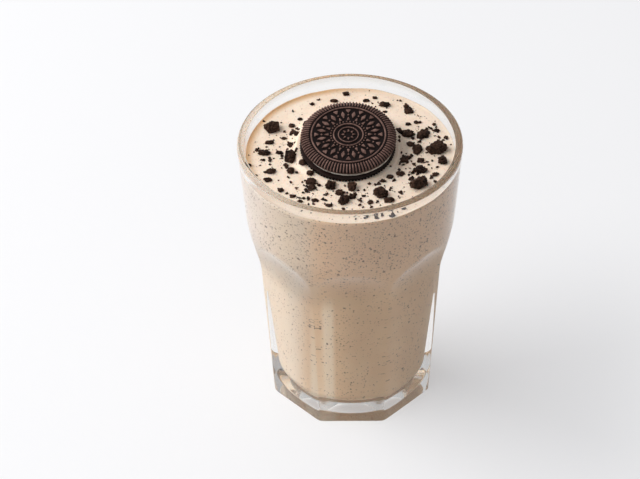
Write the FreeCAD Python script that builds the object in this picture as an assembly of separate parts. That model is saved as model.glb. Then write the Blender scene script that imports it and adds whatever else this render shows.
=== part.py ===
import FreeCAD, Part
import math
import os
import random

# A cookies-and-cream milkshake in a pressed-glass tumbler, with a chocolate sandwich biscuit
# lying on the drink and broken biscuit strewn round it.
# Millimetres, +Z up.  The origin is on the table at the middle of the glass's foot, and one of
# the eight flats of the glass faces -Y.

Vector = FreeCAD.Vector
Rotation = FreeCAD.Rotation
Z_AXIS = Vector(0, 0, 1)
AXIS_FOOT = Vector(0, 0, 0)

# ---- the glass: outside ----
GLASS_HEIGHT = 138.2        # table to the top of the lip
RIM_RADIUS = 50.0           # widest, just under the lip
LIP_THICKNESS = 3.3         # the lip is a full round of this width
BAND_FOOT_Z = 101.0         # the round upper band runs from here up to the lip
BAND_FOOT_RADIUS = 47.3
SHOULDER_MID_Z = 90.0       # the shoulder narrows the band to the eight-sided body
SHOULDER_MID_RADIUS = 46.1
FLATS = 8
FLAT_FOOT = 36.2            # from the axis to the middle of a flat, at the table
FLAT_TOP = 40.45            # the same where the cove starts
COVE_Z = 76.5               # each flat curves outwards above this height
COVE_RADIUS = 54.0          # and runs out through the band in an arch
ARRIS_BLUNT = 0.35          # how much is rounded off the arrises between the flats
FOOT_EDGE = 1.0             # bevel round the underside
PUNT_RADIUS = 25.0          # the hollow under the foot, a low cone with a flat top
PUNT_TOP_RADIUS = 18.5
PUNT_DEPTH = 4.2

# ---- the glass: inside, which the drink fills ----
FLOOR_Z = 6.4               # thickness of the glass under the drink
FLOOR_CORNER = 5.0          # radius of the corner round the floor
WELL_RADIUS = 23.8          # inside radius just above the floor
WELL_TOP_RADIUS = 29.6      # inside radius where the shoulder starts
WELL_TOP_Z = 66.0
THROAT_Z = 102.0            # inside radius where the shoulder ends
THROAT_RADIUS = 44.1

# ---- the drink ----
LEVEL_FRONT = 130.5         # where the drink meets the glass nearest -Y
LEVEL_BACK = 131.6          # and at the back
BED_SINK = 0.9              # how deep the biscuit's underside is bedded in the drink
BED_LIP = 1.5               # the bank of drink stands this far out from the biscuit
BED_SLOPE = 7.9             # width of the bank, down to the level at the back
BED_HEIGHT = 7.9

# ---- the sandwich biscuit ----
BISCUIT_RADIUS = 21.3
WAFER_THICKNESS = 3.6
WIDEST_DEPTH = 2.6          # a wafer is widest this far below its face
WAFER_UNDERCUT = 0.5        # and this much narrower where it meets the cream
EDGE_DROP = 0.9             # how far the edge has rounded over, EDGE_SHARE of its way out
EDGE_SHARE = 0.72
CREAM_THICKNESS = 1.6
CREAM_RADIUS = 20.1
SANDWICH_THICKNESS = 2 * WAFER_THICKNESS + CREAM_THICKNESS
CREAM_SHIFT = Vector(0.3, -0.35, 0)      # the cream and the lower wafer sit a little out of line
LOWER_SHIFT = Vector(-0.4, -0.8, 0)
FACE_RADIUS = 17.3          # the flat, embossed face of a wafer
RIBS = 90                   # ribs round the rounded edge
RIB_WIDTH = 0.75
RIB_HEIGHT = 0.4
RING_RADIUS = 16.5          # raised ring round the face
RING_WIDTH = 0.9
RELIEF = 0.35               # how far ring, studs and boss stand up
ROOT = 0.2                  # how deep they are rooted in the wafer
STUD_RING_RADIUS = 12.0     # ring of lozenge studs
STUDS = 16
STUD_LENGTH = 5.0
STUD_WIDTH = 2.2
BOSS_RADIUS = 6.8           # round boss in the middle
BOSS_RIM = 1.0              # width of its rim, and of the groove inside that
BISCUIT_TOP = Vector(-0.6, -0.3, 142.2)  # middle of the upper face
BISCUIT_TILT = 9.0          # degrees, lower at the front

# ---- the broken biscuit that is as large as a berry ----
# name: distance from the axis, bearing from +X in degrees, length, width, height, turn, lift
CHUNKS = {
    "crumb_left_back": (38.7, 154, 6.8, 6.2, 5.6, 20, 1.4),
    "crumb_left": (26.8, 189, 6.8, 6.0, 5.4, 60, 1.3),
    "crumb_left_edge": (38.0, 180, 6.2, 3.8, 3.0, -15, 0.6),
    "crumb_right_edge": (38.6, 2, 10.2, 6.0, 5.0, 15, 1.2),
    "crumb_front_right": (37.6, -37, 9.2, 5.0, 5.6, 28, 1.5),
    "crumb_front_mid": (32.0, -65, 6.6, 5.2, 5.0, -10, 1.2),
    "crumb_front_edge": (33.3, -95, 5.4, 4.2, 4.2, 35, 1.0),
    "crumb_biscuit_left": (24.6, -110, 5.6, 4.4, 4.4, 40, 1.0),
    "crumb_biscuit_front": (24.6, -88, 3.9, 5.4, 4.4, 5, 1.1),
    "crumb_right_back": (34.6, 20, 6.8, 5.2, 4.0, 50, 0.8),
    "crumb_right_front": (33.4, -22, 7.0, 4.0, 3.4, -5, 0.7),
    "crumb_biscuit_right": (28.2, 27, 6.0, 3.6, 3.4, 10, 0.7),
    "crumb_right_mid": (30.0, 4, 4.3, 4.8, 3.6, 80, 0.8),
    "crumb_right_rim": (41.4, -9, 4.5, 4.0, 4.0, 0, 1.0),
}
CHUNK_FACES = 15            # broken faces on each lump
CHUNK_BLOCK = 40.0          # side of the block that cuts one face
CHUNK_DEPTHS = (0.86, 1.1)  # a face's depth, as a share of the lump's half size
CHUNK_SWAY = 0.35           # how far a face's bearing may stray, in radians

CLEAR = 10.0                # how far cutting shapes reach past the glass
FLAT_HALF_WIDTH = 30.0      # half the width of the shape that cuts one flat
COVE_SWEEP = 35.0           # degrees of the cove's arc, enough to run out of the band
BELOW_FOOT = 5.0            # how far that shape starts below the table
HAIR = 0.001                # keeps two cutting faces from lying in one plane


def save(shape, node):
    """Write one sub-part, after making sure that it is one closed solid."""
    solid = shape.Solids[0]
    assert len(shape.Solids) == 1 and solid.isValid(), node
    solid.exportStep("parts/" + node + ".step")


def upright(radius, z):
    """A point of a profile that is turned about the glass's axis."""
    return Vector(radius, 0, z)


def turned(edges):
    """The solid swept by a closed profile turned once about the Z axis."""
    face = Part.Face(Part.Wire(Part.__sortEdges__(edges)))
    return face.revolve(AXIS_FOOT, Z_AXIS, 360).Solids[0]


def lines(points):
    return [Part.LineSegment(a, b).toShape() for a, b in zip(points, points[1:])]


def spline(points, start_direction, end_direction):
    """A smooth curve through a few points that leaves and arrives along given directions."""
    curve = Part.BSplineCurve()
    curve.interpolate(points, InitialTangent=start_direction, FinalTangent=end_direction)
    return curve.toShape()


def lean(low, high):
    """Unit direction from one profile point to another."""
    direction = high.sub(low)
    direction.normalize()
    return direction


# ---- profiles that the glass and the drink share ----
def inner_rim():
    return upright(RIM_RADIUS - LIP_THICKNESS, GLASS_HEIGHT - LIP_THICKNESS / 2)


def inside_edges():
    """The inside wall, from the middle of the floor up to the lip."""
    corner = upright(WELL_RADIUS - FLOOR_CORNER, FLOOR_Z)
    wall_foot = upright(WELL_RADIUS, FLOOR_Z + FLOOR_CORNER)
    diagonal = FLOOR_CORNER * math.sqrt(0.5)
    corner_mid = corner.add(upright(diagonal, FLOOR_CORNER - diagonal))
    well_top = upright(WELL_TOP_RADIUS, WELL_TOP_Z)
    throat = upright(THROAT_RADIUS, THROAT_Z)
    shoulder = spline([well_top, throat], lean(wall_foot, well_top), lean(throat, inner_rim()))
    return (
        lines([upright(0, FLOOR_Z), corner])
        + [Part.Arc(corner, corner_mid, wall_foot).toShape()]
        + lines([wall_foot, well_top])
        + [shoulder]
        + lines([throat, inner_rim()])
    )


# ---- the glass ----
def outside_edges():
    """The round outside, which the flats are cut into, from the foot up to the lip."""
    arris = 1 / math.cos(math.pi / FLATS)
    foot = upright(FLAT_FOOT * arris - ARRIS_BLUNT, 0)
    body_top = upright(FLAT_TOP * arris - ARRIS_BLUNT, COVE_Z)
    shoulder_mid = upright(SHOULDER_MID_RADIUS, SHOULDER_MID_Z)
    band_foot = upright(BAND_FOOT_RADIUS, BAND_FOOT_Z)
    rim = upright(RIM_RADIUS, GLASS_HEIGHT - LIP_THICKNESS / 2)
    bevel_in = upright(foot.x - FOOT_EDGE, 0)
    bevel_out = foot.add(lean(foot, body_top) * FOOT_EDGE)
    through = [body_top, shoulder_mid, band_foot]
    shoulder = spline(through, lean(foot, body_top), lean(band_foot, rim))
    lip_top = upright(RIM_RADIUS - LIP_THICKNESS / 2, GLASS_HEIGHT)
    return (
        lines([upright(0, 0), bevel_in, bevel_out, body_top])
        + [shoulder]
        + lines([band_foot, rim])
        + [Part.Arc(rim, lip_top, inner_rim()).toShape()]
    )


def flat_cutter():
    """What one flat takes off: straight up the body, then a cove that runs out of the band."""
    foot = upright(FLAT_FOOT, 0)
    cove_start = upright(FLAT_TOP, COVE_Z)
    rise = lean(foot, cove_start)
    below = foot.sub(rise * BELOW_FOOT)
    outward = Vector(rise.z, 0, -rise.x)
    centre = cove_start.add(outward * COVE_RADIUS)

    def on_cove(sweep):
        spoke = rise * math.sin(sweep) - outward * math.cos(sweep)
        return centre.add(spoke * COVE_RADIUS)

    sweep_end = math.radians(COVE_SWEEP)
    cove_end = on_cove(sweep_end)
    clear = RIM_RADIUS + CLEAR
    edges = (
        lines([below, cove_start])
        + [Part.Arc(cove_start, on_cove(sweep_end / 2), cove_end).toShape()]
        + lines([cove_end, upright(clear, cove_end.z), upright(clear, below.z), below])
    )
    face = Part.Face(Part.Wire(Part.__sortEdges__(edges)))
    face.translate(Vector(0, -FLAT_HALF_WIDTH, 0))
    return face.extrude(Vector(0, 2 * FLAT_HALF_WIDTH, 0))


def bevel_cutter():
    """The bevel under one flat, so that it runs on round the whole foot."""
    corners = [
        upright(FLAT_FOOT - FOOT_EDGE, -HAIR),
        upright(FLAT_FOOT + FOOT_EDGE * 2, -HAIR),
        upright(FLAT_FOOT + FOOT_EDGE * 2, FOOT_EDGE * 3),
    ]
    face = Part.Face(Part.Wire(lines(corners + corners[:1])))
    face.translate(Vector(0, -FLAT_HALF_WIDTH, 0))
    return face.extrude(Vector(0, 2 * FLAT_HALF_WIDTH, 0))


def glass():
    body = turned(outside_edges() + inside_edges() + lines([upright(0, FLOOR_Z), upright(0, 0)]))
    flat = flat_cutter()
    bevel = bevel_cutter()
    for side in range(FLATS):
        turn = 360 / FLATS * side
        for cutter in (flat, bevel):
            piece = cutter.copy()
            piece.rotate(AXIS_FOOT, Z_AXIS, turn)
            body = body.cut(piece)
    return body.cut(Part.makeCone(PUNT_RADIUS, PUNT_TOP_RADIUS, PUNT_DEPTH))


# ---- the sandwich biscuit, made lying flat with its upper face at z = 0 ----
def wafer_profile(inset):
    """Half of a wafer's section: flat face, rounded rib zone, blunt edge on the cream side."""
    edge = BISCUIT_RADIUS - inset
    face_end = Vector(FACE_RADIUS, 0, -inset)
    shoulder = Vector(FACE_RADIUS + (edge - FACE_RADIUS) * EDGE_SHARE, 0, -inset - EDGE_DROP)
    widest = Vector(edge, 0, -WIDEST_DEPTH)
    low = Vector(BISCUIT_RADIUS - WAFER_UNDERCUT, 0, -WAFER_THICKNESS)
    rim_curve = spline([face_end, shoulder, widest], Vector(1, 0, 0), Vector(0, 0, -1))
    axis_top = Vector(0, 0, -inset)
    axis_low = Vector(0, 0, -WAFER_THICKNESS)
    return lines([axis_top, face_end]) + [rim_curve] + lines([widest, low, axis_low, axis_top])


def ribs():
    """The ribs, all round: slices of the full section over a slightly smaller wafer."""
    crest = Part.Face(Part.Wire(Part.__sortEdges__(wafer_profile(0))))
    inner = Part.makeBox(
        FACE_RADIUS, 2 * RIB_WIDTH, 2 * WAFER_THICKNESS, Vector(0, -RIB_WIDTH, -1.5 * WAFER_THICKNESS)
    )
    crest.translate(Vector(0, -RIB_WIDTH / 2, 0))
    rib = crest.extrude(Vector(0, RIB_WIDTH, 0)).cut(inner)
    pieces = []
    for index in range(RIBS):
        piece = rib.copy()
        piece.rotate(AXIS_FOOT, Z_AXIS, 360 / RIBS * index)
        pieces.append(piece)
    return pieces


def embossing():
    """A plain raised ring, a ring of lozenge studs and a round boss: a pattern of no maker's."""
    low = -RIB_HEIGHT - ROOT
    height = RELIEF + ROOT
    ring = Part.makeCylinder(RING_RADIUS + RING_WIDTH / 2, height, Vector(0, 0, low))
    ring = ring.cut(Part.makeCylinder(RING_RADIUS - RING_WIDTH / 2, height, Vector(0, 0, low)))
    boss = Part.makeCylinder(BOSS_RADIUS, height, Vector(0, 0, low))
    groove_floor = Vector(0, 0, -RIB_HEIGHT)
    groove = Part.makeCylinder(BOSS_RADIUS - BOSS_RIM, 2 * RELIEF, groove_floor)
    island = Part.makeCylinder(BOSS_RADIUS - 2 * BOSS_RIM, 2 * RELIEF, groove_floor)
    pieces = [ring, boss.cut(groove.cut(island))]
    half_long, half_wide = STUD_LENGTH / 2, STUD_WIDTH / 2
    spots = [(half_long, 0), (0, half_wide), (-half_long, 0), (0, -half_wide)]
    lozenge = [Vector(x, y, low) for x, y in spots]
    stud = Part.Face(Part.Wire(lines(lozenge + lozenge[:1]))).extrude(Vector(0, 0, height))
    for index in range(STUDS):
        piece = stud.copy()
        piece.translate(Vector(STUD_RING_RADIUS, 0, 0))
        piece.rotate(AXIS_FOOT, Z_AXIS, 360 / STUDS * (index + 0.5))
        pieces.append(piece)
    return pieces


def wafer():
    body = turned(wafer_profile(RIB_HEIGHT))
    return body.multiFuse(ribs() + embossing()).removeSplitter()


def wafer_socket():
    """The hollow that the lower wafer leaves in the drink: its section over the ribs' crests."""
    return lay_on_drink(lower_way_up(turned(wafer_profile(0))))


def lower_way_up(shape):
    """A wafer turned face down and moved under the cream."""
    turned_over = shape.mirror(AXIS_FOOT, Z_AXIS)
    turned_over.translate(LOWER_SHIFT - Vector(0, 0, SANDWICH_THICKNESS))
    return turned_over


def lay_on_drink(shape):
    """A biscuit piece that lies flat at the origin, in its place on the drink."""
    placed = shape.copy()
    placed.rotate(AXIS_FOOT, Vector(1, 0, 0), BISCUIT_TILT)
    placed.translate(BISCUIT_TOP)
    return placed


def sandwich():
    """The biscuit's three layers in their places: upper wafer, cream, lower wafer."""
    upper = wafer()
    cream_foot = CREAM_SHIFT - Vector(0, 0, WAFER_THICKNESS + CREAM_THICKNESS)
    cream = Part.makeCylinder(CREAM_RADIUS, CREAM_THICKNESS, cream_foot)
    return {
        "biscuit_upper": lay_on_drink(upper),
        "biscuit_cream": lay_on_drink(cream),
        "biscuit_lower": lay_on_drink(lower_way_up(upper)),
    }


# ---- the drink and what lies in it ----
def level_at(y):
    """Height of the drink's surface: thick, it stands a little higher at the back."""
    reach = RIM_RADIUS - LIP_THICKNESS
    middle = (LEVEL_FRONT + LEVEL_BACK) / 2
    return middle + (LEVEL_BACK - LEVEL_FRONT) * y / (2 * reach)


def air():
    """Everything above the drink's sloping surface."""
    reach, ceiling = RIM_RADIUS + CLEAR, GLASS_HEIGHT * 2
    side = [(-reach, level_at(-reach)), (reach, level_at(reach)), (reach, ceiling), (-reach, ceiling)]
    corners = [Vector(-reach, y, z) for y, z in side]
    return Part.Face(Part.Wire(lines(corners + corners[:1]))).extrude(Vector(2 * reach, 0, 0))


def bed():
    """The bank of thick drink that the biscuit lies in, square to the tilted biscuit."""
    top_radius = BISCUIT_RADIUS + BED_LIP
    foot = LOWER_SHIFT + Vector(0, 0, BED_SINK - SANDWICH_THICKNESS - BED_HEIGHT)
    cone = Part.makeCone(top_radius + BED_SLOPE, top_radius, BED_HEIGHT, foot)
    return lay_on_drink(cone)


def chunk(length, width, height, seed):
    """One broken lump: a block cut by many tilted faces, each at its own depth."""
    draw = random.Random(seed)
    lump = Part.makeBox(length, width, height, Vector(-length / 2, -width / 2, -height / 2))
    block = CHUNK_BLOCK
    golden_turn = math.pi * (3 - math.sqrt(5))
    for index in range(CHUNK_FACES):
        rise = 1 - 2 * (index + 0.5) / CHUNK_FACES
        level = math.sqrt(1 - rise**2)
        bearing = golden_turn * index + draw.uniform(-CHUNK_SWAY, CHUNK_SWAY)
        normal = Vector(level * math.cos(bearing), level * math.sin(bearing), rise)
        half = Vector(normal.x * length, normal.y * width, normal.z * height).Length / 2
        slab = Part.makeBox(block, block, block, Vector(-block / 2, -block / 2, 0))
        face = FreeCAD.Placement(normal * half * draw.uniform(*CHUNK_DEPTHS), Rotation(Z_AXIS, normal))
        slab.Placement = face.multiply(slab.Placement)
        lump = lump.cut(slab)
    return lump


def chunks():
    lumps = {}
    for seed, (name, sizes) in enumerate(CHUNKS.items()):
        distance, bearing, length, width, height, turn, lift = sizes
        x = distance * math.cos(math.radians(bearing))
        y = distance * math.sin(math.radians(bearing))
        lump = chunk(length, width, height, seed)
        lump.rotate(AXIS_FOOT, Z_AXIS, turn)
        lump.translate(Vector(x, y, level_at(y) + lift))
        lumps[name] = lump
    return lumps


def milkshake(garnish):
    """The drink: what fills the glass up to the level, with the bank, cut round the garnish."""
    top = GLASS_HEIGHT - LIP_THICKNESS / 2
    filling = turned(inside_edges() + lines([inner_rim(), upright(0, top), upright(0, FLOOR_Z)]))
    drink = filling.cut(air()).fuse(bed().common(filling))
    for piece in garnish:
        drink = drink.cut(piece)
    return drink


def main():
    os.makedirs("parts", exist_ok=True)
    layers = sandwich()
    lumps = chunks()
    for name in lumps:
        for layer in layers.values():
            lumps[name] = lumps[name].cut(layer)
    save(glass(), "glass")
    save(milkshake([wafer_socket()] + list(lumps.values())), "milkshake")
    for node, shape in {**layers, **lumps}.items():
        save(shape, node)


main()
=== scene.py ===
import math

import bmesh
import bpy
import numpy as np
from mathutils import Matrix, Vector, noise


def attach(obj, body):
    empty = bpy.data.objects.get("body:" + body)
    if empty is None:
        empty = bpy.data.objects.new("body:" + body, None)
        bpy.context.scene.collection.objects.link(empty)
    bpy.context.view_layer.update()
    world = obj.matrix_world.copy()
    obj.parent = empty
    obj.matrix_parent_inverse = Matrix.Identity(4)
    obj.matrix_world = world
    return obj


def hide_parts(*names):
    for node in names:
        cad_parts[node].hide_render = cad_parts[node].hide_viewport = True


# A cookies-and-cream milkshake in a pressed-glass tumbler, with a chocolate sandwich biscuit
# and broken biscuit on top.  Sizes are in millimetres and turned to metres as a mesh is made.

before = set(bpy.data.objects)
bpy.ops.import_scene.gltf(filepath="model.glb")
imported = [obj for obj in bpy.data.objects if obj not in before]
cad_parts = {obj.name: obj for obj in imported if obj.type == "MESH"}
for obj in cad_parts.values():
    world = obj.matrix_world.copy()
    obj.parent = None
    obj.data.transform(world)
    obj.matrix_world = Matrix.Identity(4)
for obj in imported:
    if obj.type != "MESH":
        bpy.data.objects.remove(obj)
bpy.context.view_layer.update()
MM = 0.001

# ---- the tumbler ----
GLASS_HEIGHT = 138.2
RIM_RADIUS = 50.0
LIP_THICKNESS = 3.3
RIM_Z = GLASS_HEIGHT - LIP_THICKNESS / 2
INNER_RIM_RADIUS = RIM_RADIUS - LIP_THICKNESS
BAND_FOOT = (101.0, 47.3)           # height, radius
SHOULDER_MID = (90.0, 46.1)
FLATS = 8
FLAT_FOOT = 36.2
FLAT_TOP = 40.45
COVE_Z = 76.5
COVE_RADIUS = 54.0
ARRIS_BLUNT = 0.35
FOOT_EDGE = 1.0
PUNT_RADIUS = 25.0                  # the hollow under the foot: a low cone with a flat top
PUNT_TOP_RADIUS = 18.5
PUNT_DEPTH = 4.2
FLOOR_Z = 6.4
FLOOR_CORNER = 5.0
WELL_RADIUS = 23.8
WELL_TOP = (66.0, 29.6)
THROAT = (102.0, 44.1)

# ---- the drink ----
LEVEL_FRONT = 130.5
LEVEL_BACK = 131.6
INTO_WALL = 0.12                    # the drink reaches this far into the glass
BED_SINK = 0.9
BED_LIP = 1.5
BED_FALL = 1.0

# ---- the sandwich biscuit ----
BISCUIT_RADIUS = 21.3
WAFER_THICKNESS = 3.6
WIDEST_DEPTH = 2.6
CREAM_THICKNESS = 1.6
CREAM_RADIUS = 20.1
CREAM_SHIFT = Vector((0.3, -0.35, 0))
LOWER_SHIFT = Vector((-0.4, -0.8, 0))
FACE_RADIUS = 17.3
RIBS = 90
RIB_HEIGHT = 0.4
RIB_WIDTH = 0.86
RIB_RISE = 0.56
RIB_ROOT = 0.25
STUD_RISE = 0.6
FACE_SINK = 0.66                    # how far the face lies below the tops of its pattern
BISCUIT_TOP = Vector((-0.6, -0.3, 142.2))
BISCUIT_TILT = math.radians(9.0)
SANDWICH = 2 * WAFER_THICKNESS + CREAM_THICKNESS
LOWER_LIT_SHARE = 0.15                   # painted shade: the lower wafer is darker, as only this share of its relief stays out of the groove shade; this stands for the shadow the wafer lies in, and partly for its own darker colour

# ---- broken biscuit of middling size: x, y, width, depth ----
MEDIUM_CRUMBS = [
    (-25.9, -12.5, 3.5, 3.5), (-20.7, -9.0, 4.0, 3.5), (-26.2, 4.0, 3.1, 2.7),
    (-23.6, 10.1, 3.1, 2.7), (-25.5, 13.7, 2.7, 2.7), (-36.0, 7.3, 4.0, 2.2),
    (-31.4, 0.2, 3.1, 2.2), (-35.1, -13.1, 4.8, 2.6), (-36.1, -18.7, 3.5, 2.6),
    (-30.3, -25.6, 2.6, 2.2), (-25.0, -29.7, 3.0, 1.7), (-17.5, -15.3, 3.5, 2.6),
    (-17.0, -20.2, 4.8, 3.5), (-16.6, -24.3, 3.9, 3.1), (-4.3, -27.8, 4.4, 2.6),
    (0.9, -30.6, 3.5, 2.2), (16.9, -32.7, 4.3, 3.0), (8.7, -34.0, 2.6, 2.2),
    (29.9, 1.5, 4.4, 5.3), (26.9, 5.4, 4.0, 2.7), (25.0, 11.9, 6.3, 3.6),
    (21.8, 12.6, 3.1, 3.1), (15.7, 33.8, 5.0, 2.7), (25.4, 33.0, 2.7, 2.7),
    (26.2, 29.3, 4.5, 3.2), (11.4, 39.0, 2.3, 1.8), (7.3, 36.8, 3.2, 1.8),
    (-7.2, 36.9, 3.6, 1.8), (-1.8, 42.1, 3.2, 2.3), (31.2, -5.9, 3.1, 2.6),
    (37.3, -15.5, 2.6, 2.2), (21.9, -14.9, 4.0, 2.6), (-22.5, 23.8, 2.3, 1.8),
    (-17.2, 34.8, 2.3, 1.8), (-26.0, 18.8, 3.1, 2.2), (34.9, 13.9, 1.8, 1.8),
    (38.5, 15.3, 3.1, 1.8), (42.8, 10.3, 1.8, 2.2), (29.7, 21.2, 2.2, 1.8),
    (37.7, 19.7, 1.8, 1.8), (26.0, 19.8, 2.2, 1.8), (-29.4, 10.1, 2.7, 1.3),
    (-28.2, -8.6, 2.2, 2.2), (-21.7, -33.1, 2.6, 1.7), (-15.2, -32.5, 3.0, 1.7),
    (-9.1, -35.9, 3.0, 1.7), (17.6, -16.9, 3.1, 2.2), (14.5, -19.9, 2.6, 1.8),
    (26.7, -18.4, 2.2, 1.8), (25.6, -3.8, 2.2, 2.2), (23.8, -5.9, 4.0, 3.1),
]
LUMP_GRAIN = 0.28                   # size of the cells that a lump is remeshed with
CRUMBS_EVERYWHERE = 0.07            # how thickly the fine crumbs lie away from the drifts
# ---- where the fine crumbs lie thickest: x, y, spread, share ----
CRUMB_DRIFTS = [
    (32, 14, 6, 0.7), (31, -3, 7, 0.45), (26, -14, 6, 0.6), (12, -31, 9, 0.8),
    (-3, -33, 8, 0.45), (-17, -26, 6, 0.8), (-33, -8, 7, 0.65), (-27, 8, 6, 0.65),
    (24, 30, 6, 0.3), (38, -20, 6, 0.35),
]


# ---- mesh helpers ----
def object_of(name, mesh):
    """A new object at the origin that shows a mesh."""
    made = bpy.data.objects.new(name, mesh)
    bpy.context.scene.collection.objects.link(made)
    return made


def piece(name, vertices, faces, material, smooth=True):
    """A new object from vertices in millimetres, at the origin."""
    mesh = bpy.data.meshes.new(name)
    mesh.from_pydata([tuple(v) for v in np.asarray(vertices, float) * MM], [], faces)
    mesh.validate()
    mesh.shade_smooth() if smooth else mesh.shade_flat()
    if material:
        mesh.materials.append(material)
    return object_of(name, mesh)


def wrapped(rings, start, end):
    """Vertices and faces of a closed skin: rings of points between two poles."""
    rows, columns = rings.shape[:2]
    vertices = np.vstack([rings.reshape(-1, 3), [start], [end]])
    first, last = rows * columns, rows * columns + 1
    faces = []
    for i in range(rows - 1):
        for j in range(columns):
            k = (j + 1) % columns
            here, above = i * columns, (i + 1) * columns
            faces.append((here + j, here + k, above + k, above + j))
    top = (rows - 1) * columns
    for j in range(columns):
        k = (j + 1) % columns
        faces.append((first, k, j))
        faces.append((last, top + j, top + k))
    return vertices, faces


def turned_rings(profile, bearings):
    """Rings of points from a profile of (radius, height)."""
    radius, height = np.asarray(profile, float).T
    return np.stack(
        [
            radius[:, None] * np.cos(bearings),
            radius[:, None] * np.sin(bearings),
            np.repeat(height[:, None], len(bearings), 1),
        ],
        axis=2,
    )


def even_bearings(count):
    return np.arange(count) / count * 2 * math.pi


def hermite(z, low, low_slope, high, high_slope):
    """Radius at height z on a smooth curve between two (height, radius) points."""
    span = high[0] - low[0]
    t = np.clip((z - low[0]) / span, 0, 1)
    return (
        (2 * t**3 - 3 * t**2 + 1) * low[1]
        + (t**3 - 2 * t**2 + t) * span * low_slope
        + (3 * t**2 - 2 * t**3) * high[1]
        + (t**3 - t**2) * span * high_slope
    )


def straight(z, low, high):
    return low[1] + (z - low[0]) * (high[1] - low[1]) / (high[0] - low[0])


def soft_least(a, b, width):
    """The smaller of two values, eased where they meet."""
    near = np.maximum(width - np.abs(a - b), 0) / width
    return np.minimum(a, b) - near**2 * width / 4


def soft_most(a, b, width):
    return -soft_least(-a, -b, width)


def mark(made, title, values):
    """Gives every vertex a number of its own that the material can read."""
    attribute = made.data.attributes.new(title, "FLOAT", "POINT")
    attribute.data.foreach_set("value", np.asarray(values, np.float32))


# ---- shape of the tumbler ----
ARRIS = 1 / math.cos(math.pi / FLATS)
ARRIS_FOOT = (0.0, FLAT_FOOT * ARRIS - ARRIS_BLUNT)
ARRIS_TOP = (COVE_Z, FLAT_TOP * ARRIS - ARRIS_BLUNT)
RIM = (RIM_Z, RIM_RADIUS)
WELL_FOOT = (FLOOR_Z + FLOOR_CORNER, WELL_RADIUS)
INNER_RIM = (RIM_Z, INNER_RIM_RADIUS)


def slope(low, high):
    return (high[1] - low[1]) / (high[0] - low[0])


def round_outside(z):
    """Radius of the round outside that the flats are cut into."""
    start, end = slope(ARRIS_FOOT, ARRIS_TOP), slope(BAND_FOOT, RIM)
    below, above = SHOULDER_MID[0] - COVE_Z, BAND_FOOT[0] - SHOULDER_MID[0]
    rise = above / below * (SHOULDER_MID[1] - ARRIS_TOP[1]) + below / above * (BAND_FOOT[1] - SHOULDER_MID[1])
    middle = (3 * rise - above * start - below * end) / (2 * (above + below))
    lower = hermite(z, ARRIS_TOP, start, SHOULDER_MID, middle)
    upper = hermite(z, SHOULDER_MID, middle, BAND_FOOT, end)
    body = straight(z, ARRIS_FOOT, ARRIS_TOP)
    band = straight(z, BAND_FOOT, RIM)
    shoulder = np.where(z < SHOULDER_MID[0], lower, np.where(z < BAND_FOOT[0], upper, band))
    return np.where(z < COVE_Z, body, shoulder)


def flat_distance(z):
    """How far a flat's surface is from the axis: straight, then a cove that runs outwards."""
    lean = math.atan(slope((0, FLAT_FOOT), (COVE_Z, FLAT_TOP)))
    centre_r = FLAT_TOP + COVE_RADIUS * math.cos(lean)
    centre_z = COVE_Z - COVE_RADIUS * math.sin(lean)
    inside = np.maximum(COVE_RADIUS**2 - (z - centre_z) ** 2, 0)
    return np.where(z < COVE_Z, straight(z, (0, FLAT_FOOT), (COVE_Z, FLAT_TOP)), centre_r - np.sqrt(inside))


def outside_radius(z, bearings):
    """Radius of the finished outside, with eased creases."""
    step = 2 * math.pi / FLATS
    off = (bearings + math.pi / 2 + step / 2) % step - step / 2
    flat = flat_distance(z)
    sides = soft_least(flat / np.cos(off), flat / np.cos(step - np.abs(off)), 0.3)
    return soft_least(round_outside(z), sides, 0.7)


def well_radius(z):
    """Radius of the inside wall above the floor's corner."""
    low_slope, high_slope = slope(WELL_FOOT, WELL_TOP), slope(THROAT, INNER_RIM)
    shoulder = hermite(z, WELL_TOP, low_slope, THROAT, high_slope)
    return np.where(
        z < WELL_TOP[0],
        straight(z, WELL_FOOT, WELL_TOP),
        np.where(z < THROAT[0], shoulder, straight(z, THROAT, INNER_RIM)),
    )


def floor_corner(count, grow=0.0):
    """Points round the corner of the floor, from the floor to the wall."""
    turn = np.linspace(0, math.pi / 2 - math.atan(slope(WELL_FOOT, WELL_TOP)), count)
    reach = FLOOR_CORNER + grow
    return [
        (WELL_RADIUS - FLOOR_CORNER + reach * math.sin(a), FLOOR_Z + FLOOR_CORNER - reach * math.cos(a))
        for a in turn
    ]


def arris_bearings():
    """Bearings that crowd together at the arrises, where the surface bends."""
    per_flat = 40
    s = np.arange(per_flat) / per_flat * 2 - 1
    off = (0.35 * s + 0.65 * np.sin(math.pi / 2 * s)) * math.pi / FLATS
    centres = np.arange(FLATS) * 2 * math.pi / FLATS - math.pi / 2
    return (centres[:, None] + off).ravel()


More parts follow.
